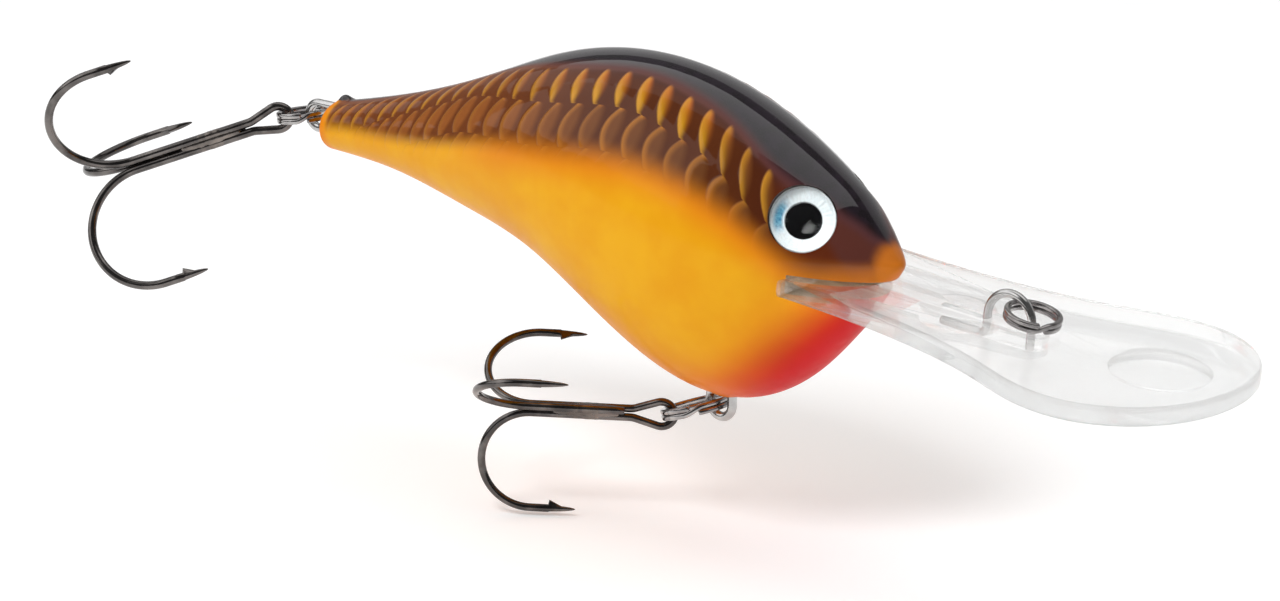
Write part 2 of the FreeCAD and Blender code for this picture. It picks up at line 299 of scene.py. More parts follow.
def wire_shell(path, diameter):
    """Round wire along a path, its cut ends broken by a small round."""
    radius = diameter / 2
    start, end = unit(path[0] - path[1]), unit(path[-1] - path[-2])
    edge = radius * WIRE_END_ROUND
    path = np.vstack([path[0] + start * edge, path[0] + start * edge * 0.7, path,
                      path[-1] + end * edge * 0.7, path[-1] + end * edge])
    radii = np.full(len(path), radius)
    radii[[0, -1]] -= edge
    radii[[1, -2]] -= edge * 0.3
    return capped_rings(path[:, None] + wire_spokes(path, WIRE_SIDES) * radii[:, None, None])


# ---- shader helpers ----


def tone(red, green, blue):
    """A screen colour, 0 to 255, as the linear colour that shaders take."""
    shares = [value / 255 for value in (red, green, blue)]
    linear = [s / 12.92 if s <= 0.04045 else ((s + 0.055) / 1.055) ** 2.4 for s in shares]
    return (*linear, 1.0)


class Shader:
    """A material's node tree, built by short calls that return sockets."""

    def __init__(self, name):
        self.material = bpy.data.materials.new(name)
        self.material.use_nodes = True
        self.tree = self.material.node_tree
        self.tree.nodes.clear()
        self.output = self.tree.nodes.new("ShaderNodeOutputMaterial")
        self.places = self.tree.nodes.new("ShaderNodeTexCoord").outputs["Object"]

    def node(self, kind, **inputs):
        made = self.tree.nodes.new(kind)
        for name, value in inputs.items():
            self.feed(made.inputs[name.replace("_", " ")], value)
        return made

    def feed(self, socket, value):
        if isinstance(value, bpy.types.NodeSocket):
            self.tree.links.new(value, socket)
        else:
            socket.default_value = value

    def attribute(self, name):
        made = self.node("ShaderNodeAttribute")
        made.attribute_name = name
        return made.outputs["Fac"]

    def math(self, operation, *values):
        made = self.node("ShaderNodeMath")
        made.operation = operation
        for socket, value in zip(made.inputs, values):
            self.feed(socket, value)
        return made.outputs[0]

    def times(self, first, *others):
        for other in others:
            first = self.math("MULTIPLY", first, other)
        return first

    def minus(self, first, second):
        return self.math("SUBTRACT", first, second)

    def mix(self, share, first, second):
        made = self.node("ShaderNodeMix")
        made.data_type = "RGBA"
        made.clamp_factor = True
        self.feed(made.inputs[0], share)
        self.feed(made.inputs[6], first)
        self.feed(made.inputs[7], second)
        return made.outputs[2]

    def remap(self, value, low, high, new_low=0.0, new_high=1.0, smooth=True):
        made = self.node("ShaderNodeMapRange")
        made.interpolation_type = "SMOOTHSTEP" if smooth else "LINEAR"
        for socket, amount in zip(made.inputs, (value, low, high, new_low, new_high)):
            self.feed(socket, amount)
        return made.outputs[0]

    def noise(self, scale, detail=2.0, stretch=(1, 1, 1), turn=(0, 0, 0)):
        """Noise whose features are about 1/scale metres across, stretched along the object's axes."""
        mapping = self.node("ShaderNodeMapping", Vector=self.places, Scale=stretch, Rotation=turn)
        made = self.node("ShaderNodeTexNoise", Vector=mapping.outputs[0], Scale=scale, Detail=detail)
        return made.outputs[0]

    def bump(self, height, strength, distance):
        made = self.node("ShaderNodeBump", Height=height, Strength=strength, Distance=distance)
        return made.outputs[0]

    def principled(self, **inputs):
        self.feed(self.output.inputs[0], self.node("ShaderNodeBsdfPrincipled", **inputs).outputs[0])


# ---- body: shape ----

SKIN_COLUMNS = 300
SKIN_PITCH = 0.26
TAIL_ROUND = 0.55
NOSE_ROWS = 36
NOSE_LAST_TURN = 0.4925 * math.pi

back_line = natural_spline(BACK_LINE)
belly_line = natural_spline(BELLY_LINE)
half_width = natural_spline(HALF_WIDTHS)

# Girth from the ridge of the back at which the dark back ends, the scales start and the brown
# flank ends
back_end = natural_spline([
    (-1, 0.4), (5, 0.8), (10, 0.6), (16, 0.7), (22, 1.2), (27, 2.6), (32, 3.8), (38, 3.9), (44, 3.4),
    (49, 3.6), (53.4, 4.0), (57, 4.7), (60, 4.8), (63, 3.9), (65.5, 3.0), (67, 2.0), (68.2, 0.9),
    (69.2, -1.5), (70, -3.0)])
scale_top = natural_spline([
    (-1, 0.9), (5, 1.2), (10, 0.9), (16, 0.9), (22, 1.3), (27, 2.8), (32, 4.0), (38, 4.0), (44, 3.5),
    (49, 3.8), (53.4, 4.0), (57, 4.8), (62, 4.8), (70, 6.5)])
flank_end = natural_spline([
    (-1, 3.4), (5, 4.5), (10, 6.0), (16, 7.9), (24, 10.3), (32, 12.3), (37, 12.8), (42, 12.5),
    (47, 11.9), (53.4, 11.3), (57, 11.0), (60, 10.9), (62, 10.7), (64.5, 9.2), (66, 7.5), (67.5, 5.6),
    (69.2, 2.2)])


def body_section(x):
    """Height of the back, height of the belly and half width at each station, rounded at the nose."""
    top, bottom, half = back_line(x), belly_line(x), half_width(x)
    past = np.clip((x - NOSE_START) / (BODY_LENGTH - NOSE_START), 0, 1)
    close = np.sqrt(1 - past ** 2)
    return NOSE_Z + (top - NOSE_Z) * close, NOSE_Z + (bottom - NOSE_Z) * close, half * close


def body_grid(stations, shrink):
    """The body's smooth surface, a row of points round the section at each station."""
    top, bottom, half = body_section(stations)
    angles = np.linspace(-math.pi, math.pi, SKIN_COLUMNS, endpoint=False)
    across = (half - shrink)[:, None] * np.sin(angles)
    height = (top - bottom) / 2 - shrink
    up = ((top + bottom) / 2)[:, None] + height[:, None] * np.cos(angles)
    along = np.repeat(stations[:, None], SKIN_COLUMNS, 1)
    return np.stack([along, across, up], -1)


def girth_table():
    """Girth from the ridge down one side, by station and angle, for smooth lookups."""
    stations = np.linspace(0, BODY_LENGTH - 0.02, 351)
    angles = np.linspace(0, math.pi, 181)
    top, bottom, half = body_section(stations)
    across = half[:, None] * np.sin(angles)
    up = (top - bottom)[:, None] / 2 * np.cos(angles)
    steps = np.hypot(np.diff(across, axis=1), np.diff(up, axis=1))
    girth = np.concatenate([np.zeros((len(stations), 1)), np.cumsum(steps, 1)], 1)
    return stations, angles, girth


GIRTH_STATIONS, GIRTH_ANGLES, GIRTH = girth_table()


def girth_at(points):
    """Girth from the ridge and its share of the way to the keel, at points on the body."""
    x = np.clip(points[:, 0], 0, GIRTH_STATIONS[-1])
    top, bottom, half = body_section(x)
    sideways = abs(points[:, 1]) / np.maximum(half, 1e-3)
    upwards = (points[:, 2] - (top + bottom) / 2) / np.maximum((top - bottom) / 2, 1e-3)
    angle = np.arctan2(sideways, upwards)
    row = x / GIRTH_STATIONS[-1] * (len(GIRTH_STATIONS) - 1)
    column = angle / math.pi * (len(GIRTH_ANGLES) - 1)
    i = np.clip(row.astype(int), 0, len(GIRTH_STATIONS) - 2)
    j = np.clip(column.astype(int), 0, len(GIRTH_ANGLES) - 2)
    u, v = row - i, column - j
    near = GIRTH[i, j] * (1 - v) + GIRTH[i, j + 1] * v
    far = GIRTH[i + 1, j] * (1 - v) + GIRTH[i + 1, j + 1] * v
    whole = GIRTH[i, -1] * (1 - u) + GIRTH[i + 1, -1] * u
    girth = near * (1 - u) + far * u
    return girth, girth / np.maximum(whole, 1e-3)


# ---- body: scales ----

SCALE_PITCH_TAIL = 1.7
SCALE_PITCH_MIDDLE = 2.5
SCALE_GROWTH_END = 38.0
SCALE_ROW_TAIL = 3.5
SCALE_ROW_MIDDLE = 4.3
SCALE_LEAN_COLUMNS = (3.0, 24.0)
SCALE_LEAN = (0.38, 0.04)
SCALE_CURL = 0.34
SCALE_COMB = 1.0
SCALE_COMB_EASE = 0.42
SCALE_COMB_STATIONS = (18, 38)
SCALE_ROW_STATIONS = (12, 40)
SCALE_RELIEF = 0.1
SCALE_LIP = 0.22

COLLAR_HALF_LENGTH = 2.3
COLLAR_HALF_WIDTH = 1.3
BEAD_X = 1.35
BEAD_HALF_LENGTH = 0.62
BEAD_HALF_WIDTH = 0.7
BEAD_PAINT_RADIUS = 0.75
PAINT_BUILD_UP = 0.55


def scale_columns(x):
    """How many scales fit between the tail and a station; the scales grow towards the middle."""
    reach = np.clip(x, 0, SCALE_GROWTH_END)
    growth = (SCALE_PITCH_MIDDLE - SCALE_PITCH_TAIL) / SCALE_GROWTH_END
    grown = np.log1p(growth * reach / SCALE_PITCH_TAIL) / growth
    return grown + (np.asarray(x) - reach) / SCALE_PITCH_MIDDLE


def scale_coordinates(x, girth):
    """Column and row of the scale pattern; over the round of the back its columns lean backwards."""
    tall = SCALE_ROW_TAIL + (SCALE_ROW_MIDDLE - SCALE_ROW_TAIL) * smooth_step(*SCALE_ROW_STATIONS, x)
    row = (girth - scale_top(x)) / tall
    reach = np.clip(row, 0, 1.2)
    comb = SCALE_COMB * smooth_step(*SCALE_COMB_STATIONS, x)
    return scale_columns(x) - comb * (reach - SCALE_COMB_EASE * reach ** 2), row


def scale_depth(column, row):
    """How far a point lies before its scale's free edge, from 0 up to 1, and its place in the row.

    The free edges curl like a left bracket and lean forwards; the place runs from -1 to 1 down a row."""
    place = 2 * (row - np.floor(row)) - 1
    lean = np.interp(column, SCALE_LEAN_COLUMNS, SCALE_LEAN)
    edge = column + lean * place - SCALE_CURL * place ** 2
    return edge - np.floor(edge), place


def scale_field(x, girth):
    """Share of the scale pattern shown: it fades into the back, the head and the belly."""
    under_back = smooth_step(0.0, 0.5, girth - scale_top(x))
    over_belly = 1 - smooth_step(-1.2, 1.8, girth - flank_end(x))
    behind_eye = 1 - smooth_step(57.5, 60.5, x - 0.1 * girth)
    from_tail = smooth_step(1.2, 2.4, x)
    return under_back * over_belly * behind_eye * from_tail


def skin_relief(points):
    """Height of the scales, the tail's paint bead and the paint collar round the belly hanger."""
    x = points[:, 0]
    girth, _ = girth_at(points)
    depth, place = scale_depth(*scale_coordinates(x, girth))
    ridge = smooth_step(0, SCALE_LIP, depth) * (1 - depth) * (1 - place ** 4)
    scales = SCALE_RELIEF * ridge * scale_field(x, girth)
    from_hanger = np.hypot((x - HANGER_X) / COLLAR_HALF_LENGTH, points[:, 1] / COLLAR_HALF_WIDTH)
    collar = np.exp(-from_hanger ** 4) * (points[:, 2] < -10)
    from_bead = np.hypot((x - BEAD_X) / BEAD_HALF_LENGTH, points[:, 1] / BEAD_HALF_WIDTH)
    bead = np.exp(-from_bead ** 2.6) * (points[:, 2] > 0)
    return scales + PAINT_BUILD_UP * (collar + bead)


def grid_normals(points):
    along = np.gradient(points, axis=0)
    wrapped = np.concatenate([points[:, -1:], points, points[:, :1]], 1)
    around = wrapped[:, 2:] - wrapped[:, :-2]
    normals = np.cross(around, along)
    size = np.linalg.norm(normals, axis=-1, keepdims=True)
    return normals / np.maximum(size, 1e-9)


def make_skin_shell():
    turn = np.linspace(0, math.pi / 2, 7)
    rim = TAIL_ROUND * (1 - np.cos(turn))
    barrel = np.arange(TAIL_ROUND + SKIN_PITCH, NOSE_START, SKIN_PITCH)
    swing = np.linspace(0, NOSE_LAST_TURN, NOSE_ROWS)
    nose = NOSE_START + (BODY_LENGTH - NOSE_START) * np.sin(swing)
    stations = np.concatenate([rim, barrel, nose])
    shrink = np.concatenate([TAIL_ROUND * (1 - np.sin(turn)), np.zeros(len(barrel) + len(nose))])
    grid = body_grid(stations, shrink)
    normals = grid_normals(grid)
    outwards = np.sign(np.einsum("ijk,ijk->", normals, grid - grid.mean(1, keepdims=True)))
    relief = skin_relief(grid.reshape(-1, 3)).reshape(grid.shape[:2])
    return capped_rings(grid + normals * outwards * relief[..., None])


# ---- lip ----

LIP_ALONG = np.array([math.cos(LIP_SLOPE), 0, -math.sin(LIP_SLOPE)])
LIP_UP = np.array([math.sin(LIP_SLOPE), 0, math.cos(LIP_SLOPE)])
LIP_ROUND = 0.42
# The dimple's wall and softened rim: radius, and height above the lip's top face
DIMPLE_RIM = [(DIMPLE_RADIUS - 0.08, 0.06 - DIMPLE_DEPTH), (DIMPLE_RADIUS, 0.2 - DIMPLE_DEPTH),
              (DIMPLE_RADIUS + 0.02, -0.12), (DIMPLE_RADIUS + 0.1, -0.03), (DIMPLE_RADIUS + 0.24, 0.0)]


def on_lip(along, across, up):
    """Points given along and across the lip, and above its top face."""
    along, across, up = np.broadcast_arrays(along, across, up)
    across_axis = np.array([0.0, 1.0, 0.0])
    base = np.array([TIE_X, 0, TIE_TOP_Z])
    parts = (along - TIE_X)[..., None] * LIP_ALONG + across[..., None] * across_axis
    return base + parts + up[..., None] * LIP_UP


def lip_outline(count):
    """The lip's plan outline, square at the root that sits in the head."""
    side = [(x, -w) for x, w in LIP_OUTLINE]
    rounded = side + [(LIP_TIP, 0)] + [(x, -w) for x, w in reversed(side)]
    chord = np.concatenate([[0], np.cumsum(np.linalg.norm(np.diff(rounded, axis=0), axis=1))])
    curves = [natural_spline(np.column_stack([chord, np.array(rounded)[:, k]])) for k in (0, 1)]
    even = np.linspace(0, chord[-1], count)
    blade = np.column_stack([curve(even) for curve in curves])
    width = 2 * LIP_OUTLINE[0][1]
    pitch = chord[-1] / count
    steps = int(width / pitch)
    root = np.column_stack([np.full(steps - 1, LIP_OUTLINE[0][0]),
                            np.linspace(width / 2, -width / 2, steps + 1)[1:-1]])
    return np.vstack([blade, root])


def inset(outline, distance):
    """The outline drawn inwards by a distance."""
    tangent = unit(np.roll(outline, -1, 0) - np.roll(outline, 1, 0))
    inwards = np.column_stack([-tangent[:, 1], tangent[:, 0]])
    return outline + inwards * distance


def make_blade():
    """The blade: a moulded plate with rounded rims and a shallow round dimple in its top."""
    outline = lip_outline(300)
    centre = np.array([DIMPLE_AT, 0.0])
    arms = unit(outline - centre)
    dimple = [((DIMPLE_RADIUS - 0.25) * share, -DIMPLE_DEPTH) for share in np.linspace(0.12, 1, 5)]
    rings = [(centre + arms * radius, up) for radius, up in dimple + DIMPLE_RIM]
    dimple_edge = rings[-1][0]
    flat_edge = inset(outline, LIP_ROUND * 1.6)
    for share in np.linspace(0.15, 1, 8):
        rings.append((dimple_edge * (1 - share) + flat_edge * share, 0.0))
    for face, sense, turns in ((0, -1, (20, 40, 60, 80, 90)), (-LIP_THICKNESS, 1, (90, 70, 50, 30, 10))):
        for turn in np.radians(turns):
            up = face + sense * LIP_ROUND * (1 - math.cos(turn))
            rings.append((inset(outline, LIP_ROUND * (1 - math.sin(turn))), up))
    for share in np.linspace(1, 0.02, 8):
        rings.append((centre * (1 - share) + flat_edge * share, -LIP_THICKNESS))
    return capped_rings(np.array([on_lip(ring[:, 0], ring[:, 1], up) for ring, up in rings]))


RIB_WIDTH = 3.4
RIB_START = 65.0
RIB_END = 86.0
RIB_HEIGHT = 2.6
RIB_END_HEIGHT = 1.0
BOSS_AT = 76.3
BOSS_RADIUS = 3.5
BOSS_HEIGHT = 1.1


def make_rib():
    """The stiffening rib under the lip: it tapers forwards and ends in a round nose."""
    rows = []
    nose = RIB_WIDTH / 2
    angles = np.linspace(0, math.pi, 21)
    for along in np.concatenate([np.linspace(RIB_START, RIB_END - nose, 24),
                                 RIB_END - nose + nose * np.sin(np.linspace(0.15, 1.5, 8))]):
        share = (along - RIB_START) / (RIB_END - RIB_START)
        height = RIB_HEIGHT + (RIB_END_HEIGHT - RIB_HEIGHT) * share
        past = max(0.0, along - (RIB_END - nose)) / nose
        half = nose * math.sqrt(max(1 - past ** 2, 1e-3))
        height *= 0.4 + 0.6 * math.sqrt(max(1 - past ** 2, 0))
        across = half * np.sign(np.cos(angles)) * abs(np.cos(angles)) ** 0.45
        drop = (height + LIP_THICKNESS / 2) * np.sin(angles) ** 0.45
        rows.append(on_lip(along, across, -LIP_THICKNESS / 2 - drop))
    return capped_rings(np.array(rows))


def make_boss():
    """The round boss under the lip that holds the line tie's foot."""
    angles = full_turn(72)
    profile = [(1.0, -LIP_THICKNESS / 2), (1.0, 0.1), (0.97, 0.5 * BOSS_HEIGHT),
               (0.92, 0.8 * BOSS_HEIGHT), (0.8, BOSS_HEIGHT), (0.5, BOSS_HEIGHT)]
    rings = []
    for share, down in profile:
        radius = BOSS_RADIUS * share
        along = BOSS_AT + radius * np.cos(angles)
        rings.append(on_lip(along, radius * np.sin(angles), -LIP_THICKNESS - down))
    return capped_rings(np.array(rings))


# ---- line tie, through wire and rings ----


def line_tie_route():
    radius, deep = TIE_ARCH_RADIUS, -TIE_LEG_DEPTH
    turns = [(-TIE_FOOT_REACH, deep), (-radius, deep), (-radius, radius), (radius, radius), (radius, deep)]
    corners = [on_lip(TIE_X + along, 0, up) for along, up in turns]
    return rounded_route(corners, [TIE_FOOT_BEND, radius, radius])


def through_wire_route():
    eye, hang = TAIL_EYE_RADIUS, HANGER_RADIUS
    low, high = TAIL_EYE_Z - eye, TAIL_EYE_Z + eye
    end, foot = TAIL_EYE_X - eye, HANGER_Z - hang
    back, front = HANGER_X - hang, HANGER_X + hang
    turns = [(HARNESS_START_X, low), (end, low), (end, high), (back, high), (back, foot), (front, foot),
             (front, HARNESS_END_Z)]
    return rounded_route([(x, 0, z) for x, z in turns], [eye, eye, HARNESS_BEND, hang, hang])


RING_PIVOTS = {
    "line_tie_ring": on_lip(TIE_X, 0, TIE_PIVOT_HEIGHT),
    "belly_split_ring": np.array([HANGER_X, 0, HANGER_Z]),
    "tail_split_ring": np.array([TAIL_EYE_X, 0, TAIL_EYE_Z]),
}
RING_STEP_TURN = math.radians(38)
RING_END_GAP = math.radians(7)
RING_SECTION_SIDES = 16


def ring_direction(name):
    drop = math.radians(RINGS[name]["drop"])
    forwards = 1 if name == "line_tie_ring" else -1
    return np.array([forwards * math.cos(drop), 0, -math.sin(drop)])


def ring_centre(name):
    return RING_PIVOTS[name] + ring_direction(name) * RINGS[name]["radius"]


def make_ring_shell(name):
    """A split ring: flattened wire wound two turns, with a step where it passes from one to the next."""
    size = RINGS[name]
    aft = ring_direction(name)
    right = np.array([0.0, -1.0, 0.0])
    axis = np.cross(aft, right)
    lift = size["width"] / 4
    turns = np.linspace(RING_END_GAP, 4 * math.pi - RING_END_GAP, 360)
    rise = lift * (2 * smooth_step(-RING_STEP_TURN / 2, RING_STEP_TURN / 2, turns - 2 * math.pi) - 1)
    angles = turns + size["step"]
    spokes = np.cos(angles)[:, None] * aft + np.sin(angles)[:, None] * right
    path = ring_centre(name) + spokes * size["radius"] + rise[:, None] * axis
    section = full_turn(RING_SECTION_SIDES)
    flat = np.ones(len(turns))
    flat[[0, -1]] = 0.85
    radial = size["thickness"] / 2 * squared(np.cos(section))
    axial = lift * 0.97 * squared(np.sin(section))
    rings = path[:, None] + flat[:, None, None] * (radial[:, None] * spokes[:, None] + axial[:, None] * axis)
    return capped_rings(rings)


def squared(wave):
    """A circle's wave drawn out towards a square with round corners."""
    return np.sign(wave) * abs(wave) ** 0.55


# ---- treble hooks ----

POINT_STEPS = 26
BARB_FROM_TIP = 1.35
BARB_REACH = 1.35
BARB_HEIGHT = 0.62


def treble_frame(name):
    """Fork point, shank direction, the eye loop's sideways direction and the three hook directions."""
    size = TREBLES[name]
    ring = size["ring"]
    azimuth = math.radians(size["azimuth"])
    elevation = math.radians(size["elevation"])
    level = np.array([math.cos(azimuth), math.sin(azimuth), 0])
    shank = level * math.cos(elevation) + np.array([0, 0, math.sin(elevation)])
    aft, right = ring_direction(ring), np.array([0.0, -1.0, 0.0])
    turn = math.atan2(shank @ right, shank @ aft)
    seat = ring_centre(ring) + (aft * math.cos(turn) + right * math.sin(turn)) * RINGS[ring]["radius"]
    tangent = right * math.cos(turn) - aft * math.sin(turn)
    side = unit(np.cross(tangent, shank))
    reach = EYE_LOOP_LENGTH - size["wire"] - RINGS[ring]["thickness"] / 2 - RING_SEAT_GAP
    fork = seat + shank * reach
    across = unit(np.cross(shank, [0, 0, 1]))
    over = np.cross(shank, across)
    hooks = []
    for index in range(3):
        angle = math.radians(size["spin"] + 120 * index)
        hooks.append(across * math.cos(angle) + over * math.sin(angle))
    return fork, shank, side, hooks


def hook_corners(size, fork, shank, out, start):
    """Inner corners of one hook, from its shank to the root of its point, and their radii."""
    offset = SHANK_SPREAD * size["wire"]
    radius = (size["gape"] - offset) / 2
    spots = [(start, offset), (size["shank"], offset), (size["shank"], size["gape"]),
             (size["point"] + POINT_LENGTH, size["gape"])]
    return [fork + shank * along + out * radial for along, radial in spots], [radius, radius]


def hook_shell(route, wire, points):
    """Round wire whose ends named in points are ground sharp and cut to a barb.

    points maps an end, 0 or -1, to that end's (shank direction, outward direction)."""
    radii = np.full(len(route), wire / 2)
    barbs = np.zeros(len(route))
    inwards = np.zeros((len(route), 3))
    for end, (shank, out) in points.items():
        share = np.linspace(1, 0, POINT_STEPS)
        tip = route[end] - share[:, None] * shank * POINT_LENGTH
        taper = wire / 2 * np.sqrt(np.clip(1 - share, 0, 1) + 0.0012) * (1 - 0.12 * (1 - share))
        from_tip = (1 - share) * POINT_LENGTH
        past = (from_tip - BARB_FROM_TIP) / BARB_REACH
        barb = np.where((past > 0) & (past < 1), past, 0) * BARB_HEIGHT
        facing = np.repeat(-out[None], POINT_STEPS, 0)
        order = slice(None, None, -1 if end == -1 else 1)
        pairs = [(tip, route), (taper, radii), (barb, barbs), (facing, inwards)]
        joined = [np.concatenate([new[:-1], old[order]])[order] for new, old in pairs]
        route, radii, barbs, inwards = joined
    spokes = wire_spokes(route, WIRE_SIDES)
    facing = np.einsum("ijk,ik->ij", spokes, inwards)
    raised = barbs[:, None] * np.clip(facing, 0, 1) ** 6
    rings = route[:, None] + spokes * radii[:, None, None] + raised[..., None] * inwards[:, None]
    return capped_rings(rings)


def make_treble_shells(name):
    """Shells of the double hook with its eye, the third hook and the braze between the shanks."""
    size = TREBLES[name]
    wire = size["wire"]
    fork, shank, side, hooks = treble_frame(name)
    orders = [(0, 1, 2), (1, 2, 0), (2, 0, 1), (1, 0, 2), (2, 1, 0), (0, 2, 1)]
    first, second, third = max(orders, key=lambda order: (hooks[order[0]] - hooks[order[1]]) @ side)
    near, bends = hook_corners(size, fork, shank, hooks[first], 0)
    far, _ = hook_corners(size, fork, shank, hooks[second], 0)
    reach = EYE_LOOP_LENGTH - wire / 2
    half = (EYE_LOOP_WIDTH - wire) / 2 * EYE_CORNER_FLARE
    loop = [fork - shank * reach + side * half, fork - shank * reach - side * half]
    radii = bends + [FORK_RADIUS, EYE_CORNER_RADIUS, EYE_CORNER_RADIUS, FORK_RADIUS] + bends
    route = rounded_route(near[::-1] + loop + far, radii, 0.2)
    double = hook_shell(route, wire, {0: (shank, hooks[first]), -1: (shank, hooks[second])})
    lone, bends = hook_corners(size, fork, shank, hooks[third], wire)
    single = hook_shell(rounded_route(lone, bends, 0.2), wire, {-1: (shank, hooks[third])})
    return double, single, braze_shell(size, fork, shank, hooks)


def braze_shell(size, fork, shank, hooks):
    """Solder that wets the three shanks: three round lobes with filled valleys, thinning at both ends."""
    wire = size["wire"]
    across = hooks[0]
    over = np.cross(shank, across)
    around = full_turn(60)[:, None]
    spokes = np.cos(around) * across + np.sin(around) * over
    lobes = np.max([np.clip(spokes @ hook, 0, 1) for hook in hooks], axis=0)
    offset = SHANK_SPREAD * wire
    edge = offset * lobes + np.sqrt(np.clip((wire / 2) ** 2 - offset ** 2 * (1 - lobes ** 2), 0, None))
    filled = np.maximum(edge, 0.84 * wire)
    start, end = BRAZE_SPAN
    rings = []
    for share in np.linspace(0, 1, 40):
        swell = math.sin(math.pi * share) ** 0.3
        wander = 0.012 * math.sin(17 * share + 1) + 0.01 * math.sin(41 * share)
        radius = filled * (0.55 + 0.47 * swell) + wander * swell
        rings.append(fork + shank * (start + (end - start) * share) + spokes * radius[:, None])
    return capped_rings(np.array(rings))


# ---- eyes ----

IRIS_SPOKES = 180
EYE_SHEEN_AT = math.radians(186)
EYE_SHEEN_SPREAD = 0.6
EYE_SHEEN_INNER = (1.75, 2.0)
EYE_SHEEN_OUTER = (2.5, 2.85)
SIDES = {"left": 1.0, "right": -1.0}


def eye_axes(mirror):
    """Centre, outward direction and two directions across the eye of one side of the fish."""
    flip = np.array([1.0, mirror, 1.0])
    out = unit(EYE_NORMAL * flip)
    forwards = unit(np.array([1.0, 0, 0]) - out * out[0])
    upwards = np.cross(out, forwards)
    return EYE_CENTRE * flip, out, forwards, upwards * np.sign(upwards[2])


def turned_shell(mirror, profile, ripple=None):
    """A round shell turned about the eye's axis from (radius, height above the rim) pairs."""
    centre, out, forwards, upwards = eye_axes(mirror)
    angles = full_turn(IRIS_SPOKES)
    spokes = np.cos(angles)[:, None] * forwards + np.sin(angles)[:, None] * upwards
    rings = []
    for radius, height in profile:
        wave = 0.0 if ripple is None else ripple(radius, angles)
        rings.append(centre + spokes * radius + (height + wave * np.ones(IRIS_SPOKES))[:, None] * out)
    return capped_rings(np.array(rings))


def iris_profile():
    floor = -EYE_SOCKET_DEPTH
    face = floor + 0.42
    rings = [(0.2, floor), (EYE_RADIUS - 0.06, floor), (EYE_RADIUS - 0.02, floor + 0.1),
             (EYE_RADIUS - 0.02, face + 0.2), (EYE_RADIUS - 0.1, face + 0.3),
             (EYE_RADIUS - 0.25, face + 0.26)]
    for share in np.linspace(0, 1, 12):
        radius = EYE_RADIUS - 0.4 - (EYE_RADIUS - 0.6) * share
        rings.append((radius, face + 0.16 - 0.1 * share))
    return rings


def foil_ripple(radius, angles):
    """Fine rays pressed into the foil between the pupil and the rim."""
    inside = smooth_step(PUPIL_RADIUS - 0.1, PUPIL_RADIUS + 0.15, radius)
    inside *= 1 - smooth_step(EYE_RADIUS - 0.45, EYE_RADIUS - 0.3, radius)
    return 0.012 * inside * (np.sin(36 * angles) + 0.6 * np.sin(23 * angles + 1.2))


def pupil_profile():
    base = -EYE_SOCKET_DEPTH + 0.4
    rings = [(0.2, base), (PUPIL_RADIUS, base)]
    for turn in np.linspace(0.1, 1.5, 8):
        rings.append((PUPIL_RADIUS * math.cos(turn * 0.98), base + 0.12 + 0.16 * math.sin(turn)))
    return rings


def lens_profile():
    """The clear dome: flat behind, a short wall in the socket and a round cap."""
    base = -EYE_SOCKET_DEPTH + 0.78
    edge = 0.1
    rise = LENS_PROUD - edge
    dome = (EYE_RADIUS ** 2 + rise ** 2) / (2 * rise)
    rings = [(0.3, base), (EYE_RADIUS - 0.1, base), (EYE_RADIUS - 0.03, base + 0.06),
             (EYE_RADIUS - 0.03, edge - 0.16)]
    opening = math.asin(EYE_RADIUS / dome)
    for share in np.linspace(0.985, 0.03, 26):
        angle = opening * share
        rings.append((dome * math.sin(angle), LENS_PROUD - dome * (1 - math.cos(angle))))
    return rings


# ---- materials ----


def scale_pattern(s):
    """Sockets of the scale pattern: depth behind the free edge, place down the row, row and chance."""
    column, row = s.attribute("scale_column"), s.attribute("scale_row")
    line = s.math("FLOOR", row)
    place = s.minus(s.times(s.math("FRACT", row), 2.0), 1.0)
    lean = s.remap(column, *SCALE_LEAN_COLUMNS, *SCALE_LEAN, smooth=False)
    squared_place = s.times(place, place)
    leant = s.math("ADD", column, s.times(lean, place))
    edge = s.minus(leant, s.times(squared_place, SCALE_CURL))
    cell = s.node("ShaderNodeCombineXYZ", X=s.math("FLOOR", edge), Y=line)
    dice = s.node("ShaderNodeTexWhiteNoise", Vector=cell.outputs[0])
    return s.math("FRACT", edge), place, squared_place, row, dice.outputs["Value"]


